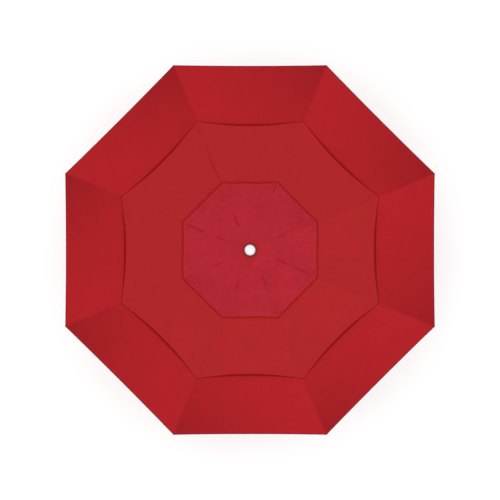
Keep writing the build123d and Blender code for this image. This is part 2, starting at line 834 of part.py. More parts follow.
# --- Top hub, its pulley and the pins ---------------------------------------
pocket_half = pulley_r + pulley_rim + pocket_room
pocket_width = 2 * (pulley_half + pulley_side)
with BuildPart() as top_hub:
    add(spider(hub_height, hub_drop, hub_rise, hub_flange))
    with BuildSketch(Plane.XY.offset(hub_height - hub_drop)):
        Circle(pole_r + pin_gap)
    extrude(amount=hub_drop - hub_socket, mode=Mode.SUBTRACT)
    with Locations((pulley_r - pocket_half, 0, hub_height)):
        Box(
            flange_r + pocket_half,
            pocket_width,
            2 * pocket_half,
            align=(Align.MIN, Align.CENTER, Align.CENTER),
            mode=Mode.SUBTRACT,
        )
    with BuildSketch(Plane.XY.offset(hub_height - hub_drop)):
        Circle(cord_passage_r)
        with Locations((2 * pulley_r, 0)):
            Circle(cord_hole_r)
    extrude(amount=hub_drop, mode=Mode.SUBTRACT)
    with BuildSketch(Plane.XZ.offset(-core_r - edge_break)):
        with Locations((pulley_r, hub_height)):
            Circle(pulley_pin_r + pin_gap)
    extrude(amount=core_r + edge_break + pulley_pin_half, mode=Mode.SUBTRACT)
    with BuildSketch(Plane.XY.offset(hub_top)):
        Circle(stud_top_r)
    extrude(amount=stud_top)
    chamfer(top_hub.faces().sort_by(Axis.Z)[-1].edges(), edge_break)
top_hub.part.label = "top_hub"
export_step(top_hub.part, "parts/top_hub.step")

with BuildPart() as top_pulley:
    with BuildSketch(Plane.XZ.offset(-pulley_half)):
        with Locations((pulley_r, hub_height)):
            Circle(pulley_r + pulley_rim)
            Circle(pulley_pin_r + pin_gap, mode=Mode.SUBTRACT)
    extrude(amount=2 * pulley_half)
    groove_plane = Plane(origin=(pulley_r, 0, hub_height), x_dir=(0, 1, 0), z_dir=(1, 0, 0))
    with BuildSketch(groove_plane):
        with Locations((0, pulley_r)):
            Circle(cord_r + cord_gap)
        with Locations((0, pulley_r + pulley_rim)):
            Rectangle(2 * (cord_r + cord_gap), 2 * pulley_rim)
    revolve(axis=Axis((pulley_r, 0, hub_height), (0, 1, 0)), mode=Mode.SUBTRACT)
top_pulley.part.label = "top_pulley"
export_step(top_pulley.part, "parts/top_pulley.step")


def pin_ring(height):
    """One pin across each slot of the hub or the runner."""
    with BuildPart() as piece:
        with Locations((0, 0, height)):
            with PolarLocations(pivot_r, rib_count, start_angle=first_rib_angle):
                Cylinder(pin_r, 2 * (pin_half - pin_gap), rotation=(90, 0, 0))
    return piece.part


with BuildPart() as hub_pins:
    add(pin_ring(hub_height))
    with BuildSketch(Plane.XZ.offset(pin_gap - pulley_pin_half)):
        with Locations((pulley_r, hub_height)):
            Circle(pulley_pin_r)
    extrude(amount=2 * (pulley_pin_half - pin_gap))
hub_pins.part.label = "hub_pins"
export_step(hub_pins.part, "parts/hub_pins.step")

# --- Runner and its pins ----------------------------------------------------
with BuildPart() as runner:
    add(spider(runner_height, runner_drop, runner_rise, runner_flange))
    with BuildSketch(Plane.XY.offset(runner_height - runner_drop)):
        Circle(pole_r + runner_play)
        with Locations((2 * pulley_r, 0)):
            Circle(cord_hole_r)
    extrude(amount=runner_drop + runner_rise, mode=Mode.SUBTRACT)
runner.part.label = "runner"
export_step(runner.part, "parts/runner.step")

with BuildPart() as runner_pins:
    add(pin_ring(runner_height))
runner_pins.part.label = "runner_pins"
export_step(runner_pins.part, "parts/runner_pins.step")

# --- Lift cord: up from the spool, over the pulley, down to the runner ------
cord_start = (winding_r + winding_gap + cord_r, 0, crank_height)
cord_joint = (0, 0, tilt_height - edge_break)
with BuildPart() as lift_cord_lower:
    with BuildLine() as lower_run:
        Line(cord_start, cord_joint)
    with BuildSketch(Plane(origin=lower_run.line @ 0, z_dir=lower_run.line % 0)):
        Circle(cord_r)
    sweep(path=lower_run.line)
lift_cord_lower.part.label = "lift_cord_lower"
export_step(lift_cord_lower.part, "parts/lift_cord_lower.step")

with BuildPart() as lift_cord_upper:
    with BuildLine() as upper_run:
        rise = Line((0, 0, tilt_height + edge_break), (0, 0, hub_height))
        over = ThreePointArc(
            rise @ 1,
            (pulley_r, 0, hub_height + pulley_r),
            (2 * pulley_r, 0, hub_height),
        )
        Line(over @ 1, (2 * pulley_r, 0, runner_height - cord_tail))
    with BuildSketch(Plane.XY.offset(tilt_height + edge_break)):
        Circle(cord_r)
    sweep(path=upper_run.line)
lift_cord_upper.part.label = "lift_cord_upper"
export_step(lift_cord_upper.part, "parts/lift_cord_upper.step")

# --- Finial -----------------------------------------------------------------
with BuildPart() as finial:
    with BuildSketch(Plane.XY.offset(cap_top)):
        Circle(finial_base_r)
    extrude(amount=finial_base)
    with BuildSketch(Plane.XY.offset(cap_top)):
        Circle(finial_neck_r)
    extrude(amount=finial_ball_rise)
    with Locations((0, 0, cap_top + finial_ball_rise)):
        Sphere(finial_ball_r)
    with BuildSketch(Plane.XY.offset(cap_top)):
        Circle(stud_top_r + insert_gap)
    extrude(amount=stud_top, mode=Mode.SUBTRACT)
finial.part.label = "finial"
export_step(finial.part, "parts/finial.step")

# --- Ribs with their end fittings, and struts -------------------------------
with BuildPart() as rib:
    with BuildSketch(across(rib_side, rib_start)):
        RectangleRounded(rib_width, rib_depth, rib_corner)
        RectangleRounded(
            rib_width - 2 * rib_wall,
            rib_depth - 2 * rib_wall,
            rib_corner - rib_wall,
            mode=Mode.SUBTRACT,
        )
    extrude(amount=rib_end - rib_start)
    with BuildSketch(rib_side):
        with Locations((strut_seat - rivet_spread, 0), (strut_seat + rivet_spread, 0)):
            Circle(rivet_r + pin_gap)
    extrude(amount=rib_width, both=True, mode=Mode.SUBTRACT)

saddle_width = rib_width + 2 * saddle_plate
saddle_low = -rib_depth / 2 - saddle_floor
with BuildPart() as saddle:
    with BuildSketch(rib_side):
        with Locations((strut_seat, (saddle_top + saddle_low) / 2)):
            RectangleRounded(2 * saddle_half, saddle_top - saddle_low, edge_break)
        with Locations((strut_seat, (saddle_low - strut_drop) / 2)):
            Rectangle(2 * ear_r, strut_drop + saddle_low)
        with Locations((strut_seat, -strut_drop)):
            Circle(ear_r)
            Circle(pin_hole_r, mode=Mode.SUBTRACT)
        with Locations((strut_seat - rivet_spread, 0), (strut_seat + rivet_spread, 0)):
            Circle(rivet_r + pin_gap, mode=Mode.SUBTRACT)
    extrude(amount=saddle_width / 2, both=True)
    with BuildSketch(across(rib_side, strut_seat - 2 * saddle_half)):
        RectangleRounded(rib_width + 2 * seat_gap, rib_depth + 2 * seat_gap, rib_corner)
    extrude(amount=4 * saddle_half, mode=Mode.SUBTRACT)
    with BuildSketch(rib_side):
        with Locations((strut_seat, saddle_low - strut_drop)):
            Rectangle(4 * ear_r, 2 * strut_drop)
    extrude(amount=slot_width / 2, both=True, mode=Mode.SUBTRACT)

with BuildPart() as saddle_pins:
    with BuildSketch(rib_side):
        with Locations((strut_seat, -strut_drop)):
            Circle(pin_r)
    extrude(amount=saddle_width / 2, both=True)
    with BuildSketch(rib_side):
        with Locations((strut_seat - rivet_spread, 0), (strut_seat + rivet_spread, 0)):
            Circle(rivet_r)
    extrude(amount=saddle_width / 2 + seat_gap + rivet_head, both=True)
    for face in (saddle_width / 2 + seat_gap, -saddle_width / 2 - seat_gap - rivet_head):
        with BuildSketch(rib_side.offset(face)):
            with Locations((strut_seat - rivet_spread, 0), (strut_seat + rivet_spread, 0)):
                Circle(rivet_head_r)
        extrude(amount=rivet_head)

tip_inset = 2 * (rib_wall + insert_gap)
with BuildPart() as rib_tip:
    with BuildSketch(across(rib_side, rib_end)):
        RectangleRounded(rib_width, rib_depth, rib_corner)
    extrude(amount=tip_length)
    fillet(rib_tip.faces().sort_by(Axis.X)[-1].edges(), min(tip_round, rib_width / 2 - edge_break / 2))
    with BuildSketch(across(rib_side, rib_end)):
        RectangleRounded(rib_width - tip_inset, rib_depth - tip_inset, rib_corner - rib_wall)
    extrude(amount=-insert_length)

with BuildPart() as rib_fittings:
    add(tongue_end(rib_side, rib_shoulder_start, tongue_r, rib_width, rib_depth, rib_corner, rib_wall))
    add(saddle.part)
    add(saddle_pins.part)
    add(rib_tip.part)

strut_start = strut_shoulder_start + shoulder + seat_gap
strut_far = Plane(
    origin=strut_side.from_local_coords((strut_length, 0, 0)),
    x_dir=-strut_side.x_dir,
    z_dir=(0, -1, 0),
)
with BuildPart() as strut:
    with BuildSketch(across(strut_side, strut_start)):
        RectangleRounded(strut_width, strut_depth, strut_corner)
        RectangleRounded(
            strut_width - 2 * strut_wall,
            strut_depth - 2 * strut_wall,
            strut_corner - strut_wall,
            mode=Mode.SUBTRACT,
        )
    extrude(amount=strut_length - 2 * strut_start)
    for end in (strut_side, strut_far):
        add(
            tongue_end(
                end,
                strut_shoulder_start,
                strut_tongue_r,
                strut_width,
                strut_depth,
                strut_corner,
                strut_wall,
            )
        )

for number in range(1, rib_count + 1):
    turn = Rotation(0, 0, first_rib_angle + (number - 1) * 360 / rib_count)
    for name, piece in (("rib_{}", rib), ("rib_{}_fittings", rib_fittings), ("strut_{}", strut)):
        with BuildPart() as placed:
            with Locations(turn):
                add(piece.part)
        placed.part.label = name.format(number)
        export_step(placed.part, f"parts/{placed.part.label}.step")

# --- Canopy: skirt, middle tier and cap -------------------------------------
with BuildPart() as canopy_skirt:
    lift = fabric_lift + fabric
    add(
        tier(
            canopy_radius,
            skirt_inner_radius,
            rib_top(canopy_radius) + lift,
            rib_top(skirt_inner_radius) + lift,
        )
    )
canopy_skirt.part.label = "canopy_skirt"
export_step(canopy_skirt.part, "parts/canopy_skirt.step")

with BuildPart() as canopy_middle:
    add(
        tier(
            middle_radius,
            middle_inner_radius,
            rib_top(middle_radius) + middle_vent + fabric,
            rib_top(middle_inner_radius) + fabric_lift + fabric,
        )
    )
canopy_middle.part.label = "canopy_middle"
export_step(canopy_middle.part, "parts/canopy_middle.step")

with BuildPart() as canopy_cap:
    add(tier(cap_radius, core_r + cap_rim, rib_top(cap_radius) + cap_vent + fabric, cap_top))
    with BuildSketch(Plane.XY.offset(cap_top - fabric)):
        RegularPolygon(core_r + cap_rim, rib_count, rotation=first_rib_angle)
        Circle(stud_top_r + edge_break, mode=Mode.SUBTRACT)
    extrude(amount=fabric)
canopy_cap.part.label = "canopy_cap"
export_step(canopy_cap.part, "parts/canopy_cap.step")

print(f"rib length {rib_length:.2f}, strut length {strut_length:.2f}, seat {strut_seat:.2f}")
print(f"runner open {runner_height:.2f}, parked {runner_parked:.2f}, strut angle {strut_angle:.5f}")
print(f"crank {crank_height:.2f}, tilt {tilt_height:.2f}, pole joint {pole_joint:.2f}")
print(f"pivot radius {pivot_r:.2f}, pulley radius {pulley_r:.2f}")
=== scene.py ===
import bmesh
import bpy
import math
from mathutils import Matrix, Vector, noise


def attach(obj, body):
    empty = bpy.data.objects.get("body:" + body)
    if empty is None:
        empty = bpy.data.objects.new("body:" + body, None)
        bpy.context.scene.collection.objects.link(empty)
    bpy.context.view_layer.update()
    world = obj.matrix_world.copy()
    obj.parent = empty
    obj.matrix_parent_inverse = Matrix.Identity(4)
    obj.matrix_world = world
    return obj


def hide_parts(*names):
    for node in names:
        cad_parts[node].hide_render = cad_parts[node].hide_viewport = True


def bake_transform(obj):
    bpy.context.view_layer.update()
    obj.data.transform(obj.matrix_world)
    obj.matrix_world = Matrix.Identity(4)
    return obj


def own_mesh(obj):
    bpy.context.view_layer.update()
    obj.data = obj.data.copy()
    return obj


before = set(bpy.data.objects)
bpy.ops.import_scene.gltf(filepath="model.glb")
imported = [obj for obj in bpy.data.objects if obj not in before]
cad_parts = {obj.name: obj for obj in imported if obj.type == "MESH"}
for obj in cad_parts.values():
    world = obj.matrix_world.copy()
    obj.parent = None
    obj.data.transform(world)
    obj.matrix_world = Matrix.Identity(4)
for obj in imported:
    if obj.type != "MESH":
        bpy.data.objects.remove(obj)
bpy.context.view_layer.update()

# --- Studio: camera, soft lights and pale floor ------------------------------
# A camera straight above the open umbrella, one broad soft box over it and an
# even pale surround. The floor is a matt white board.
scene = bpy.context.scene
scene.view_settings.view_transform = "Standard"
scene.view_settings.look = "None"
hem_height = 1.904
camera_rise = 6.5
lens = bpy.data.cameras.new("overhead_camera")
lens.sensor_width = 36.0
lens.lens = 70.9
lens.clip_end = 200.0
camera = bpy.data.objects.new("overhead_camera", lens)
camera.location = (0.0, 0.0, hem_height + camera_rise)
scene.collection.objects.link(camera)
scene.camera = camera

surround = bpy.data.worlds.new("pale_surround")
surround.use_nodes = True
surround.node_tree.nodes["Background"].inputs["Color"].default_value = (1.0, 1.0, 1.0, 1.0)
surround.node_tree.nodes["Background"].inputs["Strength"].default_value = 0.75
scene.world = surround


def soft_box(name, place, target, size, watts):
    """Square soft light at a place, facing a target."""
    lamp = bpy.data.lights.new(name, "AREA")
    lamp.shape = "SQUARE"
    lamp.size = size
    lamp.energy = watts
    holder = bpy.data.objects.new(name, lamp)
    aim = Vector(target) - Vector(place)
    holder.matrix_world = Matrix.Translation(place) @ aim.to_track_quat("-Z", "Y").to_matrix().to_4x4()
    scene.collection.objects.link(holder)


soft_box("top_box", place=(-0.3, 0.2, 10.5), target=(0.0, 0.0, 2.0), size=5.0, watts=435.0)
soft_box("side_box", place=(5.5, -6.0, 4.0), target=(0.0, 0.0, 1.2), size=4.0, watts=65.0)


class Finish:
    """A material with one Principled shader, whose sockets take the uniform values or patterns."""

    def __init__(self, name, **uniform):
        self.material = bpy.data.materials.new(name)
        self.material.use_nodes = True
        self.tree = self.material.node_tree
        self.shader = self.tree.nodes["Principled BSDF"]
        for socket, value in uniform.items():
            self.shader.inputs[socket.replace("_", " ")].default_value = value
        self.spot = self.node("TexCoord", {}, out=3)

    def node(self, kind, inputs, out=0, **settings):
        """One output of a new node, whose inputs are plain values or outputs of other nodes."""
        made = self.tree.nodes.new("ShaderNode" + kind)
        for key, value in settings.items():
            setattr(made, key, value)
        for key, value in inputs.items():
            if isinstance(value, bpy.types.NodeSocket):
                self.tree.links.new(value, made.inputs[key])
            else:
                made.inputs[key].default_value = value
        return made.outputs[out]

    def wear(self, socket, value):
        """The shader's socket takes a pattern."""
        self.tree.links.new(value, self.shader.inputs[socket])


def grain(finish, scale, detail, **more):
    """Cloudy noise over the piece, or over another Vector."""
    return finish.node("TexNoise", {"Vector": finish.spot, "Scale": scale, "Detail": detail, **more})


def mix(finish, share, first, second):
    """The first colour, turning to the second as the share grows."""
    return finish.node("MixRGB", {"Fac": share, "Color1": first, "Color2": second})


def new_piece(name, bm, finish, smooth=True):
    """Object at the origin from a finished bmesh."""
    mesh = bpy.data.meshes.new(name)
    bm.to_mesh(mesh)
    bm.free()
    if smooth:
        mesh.polygons.foreach_set("use_smooth", [True] * len(mesh.polygons))
    mesh.materials.append(finish.material)
    piece = bpy.data.objects.new(name, mesh)
    scene.collection.objects.link(piece)
    return piece


board = Finish(
    "white_board",
    Roughness=0.9,
    Specular_IOR_Level=0.1,
    Emission_Color=(1.0, 1.0, 1.0, 1.0),
    Emission_Strength=0.06,
)
cloudy = grain(board, 1.3, 3.0)
board.wear("Base Color", mix(board, cloudy, (0.93, 0.93, 0.93, 1.0), (0.97, 0.97, 0.97, 1.0)))
bm = bmesh.new()
bmesh.ops.create_circle(bm, cap_ends=True, segments=96, radius=30.0)
floor = new_piece("studio_floor", bm, board, smooth=False)

# --- Canopy cloth ------------------------------------------------------------
# Solution-dyed acrylic canvas, a plain weave in crimson. Each panel is cut with
# its threads along the panel's centre line; its dye varies a little, and painted shade darkens one side of
# each panel and its folds.
black = (0.0, 0.0, 0.0, 1.0)
pale_thread = (0.60, 0.07, 0.08, 1.0)
sewing_thread = (0.50, 0.07, 0.08, 1.0)
stitch_row = 0.0165  # from the hem
stitch_half_wide = 0.0007
stitch_scale = 40.0
weave_scale = 190.0
slub_long, slub_fine = 12.0, 520.0


def spread(finish, value, low, high, start=0.0, end=1.0, step="LINEAR"):
    """A value's range from low to high, drawn out from start to end."""
    limits = {"From Min": low, "From Max": high, "To Min": start, "To Max": end}
    return finish.node("MapRange", {"Value": value, **limits}, interpolation_type=step)


def sums(finish, kind, first, second):
    return finish.node("Math", {0: first, 1: second}, operation=kind)


def emboss(finish, strength, deep, relief):
    """The light on the surface follows a fine relief."""
    finish.wear("Normal", finish.node("Bump", {"Strength": strength, "Distance": deep, "Height": relief}))


def canopy_finish(name, shaded, lit, crease_shade_tint, edge_shade_tint, edge_corner, edge_mid, mottle):
    """Woven canopy cloth. A panel's tone runs from its shaded corner at the hem to its lit side."""
    cloth = Finish(
        name,
        Roughness=0.93,
        Specular_IOR_Level=0.03,
        Sheen_Weight=0.03,
        Sheen_Roughness=0.55,
        Sheen_Tint=(1.0, 0.35, 0.35, 1.0),
    )
    cut = cloth.node("UVMap", {}, uv_map="cut")
    turn, hem, mid, crease = (
        cloth.node("Attribute", {}, out=2, attribute_name=layer) for layer in ("turn", "hem", "mid", "crease")
    )

    def soft(value, *limits):
        return spread(cloth, value, *limits, step="SMOOTHSTEP")

    def times(first, second):
        return sums(cloth, "MULTIPLY", first, second)

    def bands(scale, direction):
        waves = {"Vector": cut, "Scale": scale}
        return cloth.node("TexWave", waves, out=1, wave_type="BANDS", bands_direction=direction)

    def slubs(scale):
        thread_line = cloth.node("Mapping", {"Vector": cut, "Scale": scale})
        return grain(cloth, 1.0, 1.0, Vector=thread_line)

    # painted shade: each panel darkens toward one side, most of all at its hem
    across_panel = sums(cloth, "POWER", sums(cloth, "SUBTRACT", 1.0, turn), 1.6)
    toward_hem = spread(cloth, hem, 0.03, 0.40, 1.0, 0.38)
    colour = mix(cloth, times(across_panel, toward_hem), lit, shaded)

    # broad mottling, which on the cap is painted shade of its gathers, and threads that took the dye a little
    # differently
    broad = grain(cloth, 6.0, 4.0, Roughness=0.55)
    small = grain(cloth, 24.0, 3.0, Roughness=0.6)
    cloud = sums(cloth, "ADD", times(broad, 0.65), times(small, 0.35))
    colour = mix(cloth, soft(cloud, 0.36, 0.64, 0.0, mottle), colour, black)
    slub = times(slubs((slub_fine, slub_long, 1.0)), slubs((slub_long, slub_fine, 1.0)))
    colour = mix(cloth, soft(slub, 0.12, 0.42, 0.0, 0.05), colour, pale_thread)
    # painted shade in the folds and creases, and round the crown washer
    colour = mix(cloth, times(crease, 0.50), colour, crease_shade_tint)

    # hem: a row of stitches, and a darker edge that widens between the ribs: painted shade of the vent gap
    # under the middle tier's and cap's hems, and a dark band along the skirt's hem
    row = cloth.node("Math", {0: hem, 1: stitch_row, 2: stitch_half_wide}, operation="COMPARE")
    stitch = times(row, soft(bands(stitch_scale, "X"), 0.35, 0.55))
    colour = mix(cloth, times(stitch, 0.22), colour, sewing_thread)
    edge_width = soft(mid, 0.0, 0.80, edge_corner, edge_mid)
    fold = soft(sums(cloth, "SUBTRACT", hem, edge_width), 0.0010, -0.0010)
    colour = mix(cloth, times(fold, 0.92), colour, edge_shade_tint)
    cloth.wear("Base Color", colour)

    # weave: crossed threads pressed into the cloth
    threads = sums(cloth, "MAXIMUM", bands(weave_scale, "X"), bands(weave_scale, "Y"))
    puckers = sums(cloth, "ADD", times(threads, 0.35), times(stitch, 0.6))
    emboss(cloth, 0.35, 0.0006, sums(cloth, "ADD", puckers, times(slub, 0.8)))
    cloth.wear("Roughness", soft(slub, 0.1, 0.5, 0.86, 0.97))
    return cloth


canvas = canopy_finish(
    "crimson_canvas",
    shaded=(0.268, 0.0085, 0.0115, 1.0),
    lit=(0.365, 0.0115, 0.0155, 1.0),
    crease_shade_tint=(0.215, 0.0070, 0.0210, 1.0),
    edge_shade_tint=(0.215, 0.0070, 0.0210, 1.0),
    edge_corner=0.0075,
    edge_mid=0.0080,
    mottle=0.04,
)

# --- Canopy skirt ------------------------------------------------------------
# The outer tier: eight flat-cut panels felled together over the ribs and turned
# up at the hem. It is one sheet, divided here along the middle of each panel so
# that every part follows the rib that carries it.
ribs = range(1, 9)
pivot_r = 0.038
pivot_height = 2.400
rib_slope = math.radians(21.5)
rib_top_rise = 0.008 / math.cos(rib_slope)
half_gore = math.radians(22.5)
skirt_inner, skirt_hem = 0.790, 1.320
skirt_lift = 0.0020  # over the ribs
skirt_creases = ((0.910, 1.200, 0.0080, 0.001, 0.0035, 0.32),)
cloth_thick = 0.0011
slope_stretch = 1.087  # length down a panel's middle, to its length seen from above
hem_rows = (0.0, 0.0011, 0.0023, 0.0042, 0.0070, 0.0100, 0.0150, 0.0178, 0.0188, 0.0198, 0.0230)
corner_fan = ((0.16, 0.006, 0.8), (0.42, 0.011, 1.0), (0.80, 0.016, 0.6))  # lean, width, depth
crease_deep = 0.0030
seam_set_in = 0.005  # from the tier's inner edge
seam_short = 0.0005  # of the hem
seam_half_wide = 0.0064
seam_thick = 0.0006
clear_of_hem = 0.03  # a small piece's cloth has neither the hem's stitches nor its folded edge
pocket_mouth_r = 1.3165
pocket_long = 0.062
pocket_thick = 0.0010


def rib_height(radius):
    """Height of the ribs' top face at a distance from the axis."""
    return pivot_height + rib_top_rise - (radius - pivot_r) * math.tan(rib_slope)


def azimuth_of(number):
    return half_gore + (number - 1) * 2.0 * half_gore


def ease(value, low, high):
    """Smooth step from 0 at low to 1 at high."""
    step = min(max((value - low) / (high - low), 0.0), 1.0)
    return step * step * (3.0 - 2.0 * step)


def sheet_layers(bm):
    """The layers that the cloth reads: distance from the hem, place between ribs, cut and panel side."""
    return (
        bm.verts.layers.float.new("hem"),
        bm.verts.layers.float.new("mid"),
        bm.loops.layers.uv.new("cut"),
        bm.loops.layers.float.new("turn"),
    )


def hem_turn(from_hem):
    """Rise of the turned hem, which is thicker than the cloth and rounded at its edge."""
    return 0.0007 * (1.0 - ease(from_hem, 0.0182, 0.0192)) - 0.0005 * (1.0 - ease(from_hem, 0.0, 0.0018))


def tension_folds(from_seam, from_hem, quiet):
    """Depths of the folds that fan out from a hem corner."""
    for lean, wide, deep in corner_fan:
        off = (from_seam - lean * (from_hem + 0.012)) / wide
        yield deep * math.exp(-off * off) * (1.0 - ease(from_hem, 0.02, 0.16)) * quiet


def cockle(x, y):
    """Soft unevenness of the cloth, broad and small."""
    broad = noise.noise(Vector((x * 7.0, y * 7.0, 3.1)))
    return broad + 0.5 * noise.noise(Vector((x * 17.0, y * 17.0, 8.4)))


def seam_slack(creases, radius, across):
    """Depth of the slack creases beside a seam."""
    slack = 0.0
    for start, end, beside, lean, wide, deep in creases:
        along = (radius - start) / (end - start)
        if -0.15 < along < 1.15:
            line = beside + lean * math.sin(math.pi * min(max(along, 0.0), 1.0))
            fade = ease(along, -0.15, 0.2) * (1.0 - ease(along, 0.65, 1.15))
            off = (across - line) / wide
            slack = max(slack, deep * fade * math.exp(-off * off))
    return slack


def face_up(bm):
    """Turns a sheet's faces to the sky."""
    bmesh.ops.recalc_face_normals(bm, faces=bm.faces)
    if sum(face.normal.z for face in bm.faces) < 0.0:
        bmesh.ops.reverse_faces(bm, faces=bm.faces)


def add_cloth(piece, thick):
    """Gives a sheet its thickness, on its under side."""
    wall = piece.modifiers.new("cloth", "SOLIDIFY")
    wall.thickness = thick
    wall.offset = -1.0


def canopy_part(
    name, number, inner, outer, lift_inner, lift_hem, finish,
    bow=0.0, vent=0.0, tuck=0.0, sag=0.0, pull=0.001, gathers=0.0, waver=0.0, fold_shade=0.0, creases=(),
):
    """The part of a tier round one rib, from the middle of one panel to the middle of the next."""
    plain_rows = max(12, int((outer - inner) / 0.010))
    rows, columns = plain_rows + len(hem_rows) - 1, 30
    azimuth = azimuth_of(number)
    bm = bmesh.new()
    bmesh.ops.create_grid(bm, x_segments=2 * columns, y_segments=rows, size=1.0)
    hem_layer, mid_layer, cut_layer, turn_layer = sheet_layers(bm)
    crease_layer = bm.verts.layers.float.new("crease")
    place = {}
    for vert in bm.verts:
        side = vert.co.x
        toward_mid = 0.5 - 0.5 * math.cos(math.pi * min(abs(side), 1.0))
        row = round((vert.co.y + 1.0) / 2.0 * rows)
        if row > plain_rows:
            from_hem = hem_rows[rows - row]
        else:
            from_hem = hem_rows[-1] + (outer - inner - hem_rows[-1]) * (1.0 - row / plain_rows)
        curve = 2.0 * toward_mid - toward_mid**2
        down = 1.0 - from_hem / (outer - inner)
        radius = outer - from_hem - bow * curve * max(down, 0.0) ** 3
        # the cap's hem is slack: it wavers, and its corners are a little blunt
        bearing = azimuth + math.copysign(half_gore, side) * toward_mid
        ripple = noise.noise(Vector((math.cos(bearing) * 6.0, math.sin(bearing) * 6.0, 2.7)))
        blunt = 1.0 - ease(toward_mid, 0.0, 0.02)
        radius -= waver * (0.5 + ripple + 0.8 * blunt) * max(down, 0.0) ** 6
        # a panel is stretched straight from this rib to the next one
        next_rib = azimuth + math.copysign(2.0 * half_gore, side)
        share = toward_mid / 2.0
        x = radius * ((1.0 - share) * math.cos(azimuth) + share * math.cos(next_rib))
        y = radius * ((1.0 - share) * math.sin(azimuth) + share * math.sin(next_rib))
        z = rib_height(radius) + lift_inner + (lift_hem - lift_inner) * down
        z += vent * curve * ease(down, 0.35, 1.0) + tuck * curve * (1.0 - ease(down, 0.0, 0.22))
        z -= sag * curve * math.sin(math.pi * min(down * 0.85, 1.0)) ** 2
        z += hem_turn(from_hem)
        # folds and cockles leave the seam and the middle of the panel quiet
        from_seam = 2.0 * radius * math.sin(half_gore) * share
        quiet = ease(from_seam, 0.004, 0.03) * (1.0 - ease(toward_mid, 0.93, 1.0))
        # each fold's depth also sets how much painted shade lies in it
        folded = 0.0
        for fold in tension_folds(from_seam, from_hem, quiet):
            z -= pull * fold
            folded = max(folded, fold_shade * fold)
        z += pull * 0.8 * cockle(x, y) * quiet
        # gathers where the cloth is drawn in at the crown
        if gathers:
            round_axis = math.atan2(y, x)
            drawn = math.exp(-max(radius - 0.05, 0.0) / 0.13)
            way = Vector((math.cos(round_axis) * 5.2, math.sin(round_axis) * 5.2, radius * 3.0))
            z += gathers * drawn * noise.noise(way) * quiet
        slack = seam_slack(creases, radius, math.copysign(from_seam, side))
        z -= crease_deep * slack
        place[vert] = (toward_mid, side, radius)
        vert.co = (x, y, z)
        vert[hem_layer] = from_hem
        vert[mid_layer] = toward_mid
        # painted shade in the folds and in the slack creases beside the seams
        vert[crease_layer] = max(folded, slack)
    # the cloth's cut, and each corner's place between the panel's painted lit and shaded colours
    for face in bm.faces:
        late = sum(place[loop.vert][1] for loop in face.loops) < 0.0
        for loop in face.loops:
            toward_mid, side, radius = place[loop.vert]
            half_chord = radius * math.sin(half_gore) * (1.0 - toward_mid)
            down_panel = radius * math.cos(half_gore) * slope_stretch
            loop[cut_layer].uv = (half_chord if late else -half_chord, down_panel)
            loop[turn_layer] = 1.0 - toward_mid / 2.0 if late else toward_mid / 2.0
    face_up(bm)
    for edge in bm.edges:
        on_ridge = all(abs(place[vert][1]) < 1e-6 for vert in edge.verts)
        edge.smooth = not edge.is_boundary and not on_ridge
    piece = new_piece(name, bm, finish)
    add_cloth(piece, cloth_thick)
    return piece


def lay_threads(bm, cut_layer, turn_layer, tone):
    """A small piece's threads run along and across its rib, and its tone, one place between the panels'
    painted lit and shaded colours, is the same all over.
    """
    for face in bm.faces:
        for loop in face.loops:
            loop[cut_layer].uv = (loop.vert.co.y, loop.vert.co.x)
            loop[turn_layer] = tone


def turn_to_rib(bm, number):
    matrix = Matrix.Rotation(azimuth_of(number), 3, "Z")
    bmesh.ops.rotate(bm, cent=(0.0, 0.0, 0.0), matrix=matrix, verts=bm.verts)


seam_outline = (  # across the seam, in half widths, and up from the rib
    (-1.0, -0.0135), (-1.0, -0.0070), (-1.0, -0.0028), (-1.0, -0.0010), (-0.90, 0.0),
    (-0.50, 0.0006), (0.0, 0.0009), (0.50, 0.0006),
    (0.90, 0.0), (1.0, -0.0010), (1.0, -0.0028), (1.0, -0.0070), (1.0, -0.0135),
)


def rib_seam(name, number, inner, outer, lift_inner, lift_hem, finish, saddle_r=None):
    """Felled seam, turned down on both sides of a rib as a sleeve, and wider over the strut's saddle."""
    rows = max(4, int((outer - inner) / 0.008))
    bm = bmesh.new()
    bmesh.ops.create_grid(bm, x_segments=len(seam_outline) - 1, y_segments=rows, size=1.0)
    hem_layer, mid_layer, cut_layer, turn_layer = sheet_layers(bm)
    for vert in bm.verts:
        side, rise = seam_outline[round((vert.co.x + 1.0) / 2.0 * (len(seam_outline) - 1))]
        down = (vert.co.y + 1.0) / 2.0
        radius = inner + (outer - inner) * down
        wide = seam_half_wide
        if saddle_r is not None:
            over = 1.0 - ease(abs(radius - saddle_r), 0.030, 0.044)
            wide += 0.0030 * over
            if rise < -0.002:
                rise -= 0.0120 * over
        z = rib_height(radius) + lift_inner + (lift_hem - lift_inner) * down + rise
        vert.co = (radius, side * wide, z)
        vert[hem_layer] = outer - radius
    lay_threads(bm, cut_layer, turn_layer, tone=0.35)
    face_up(bm)
    turn_to_rib(bm, number)
    for edge in bm.edges:
        edge.smooth = not edge.is_boundary
    seam = new_piece(name, bm, finish)
    add_cloth(seam, seam_thick)
    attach(seam, f"rib_{number}")
    return seam


def hang_on_rib(piece, number, cad_node):
    """The part moves with its rib, on a mesh of its own, and the CAD node that it stands for is hidden."""
    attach(piece, f"rib_{number}")
    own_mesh(piece)
    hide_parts(cad_node)


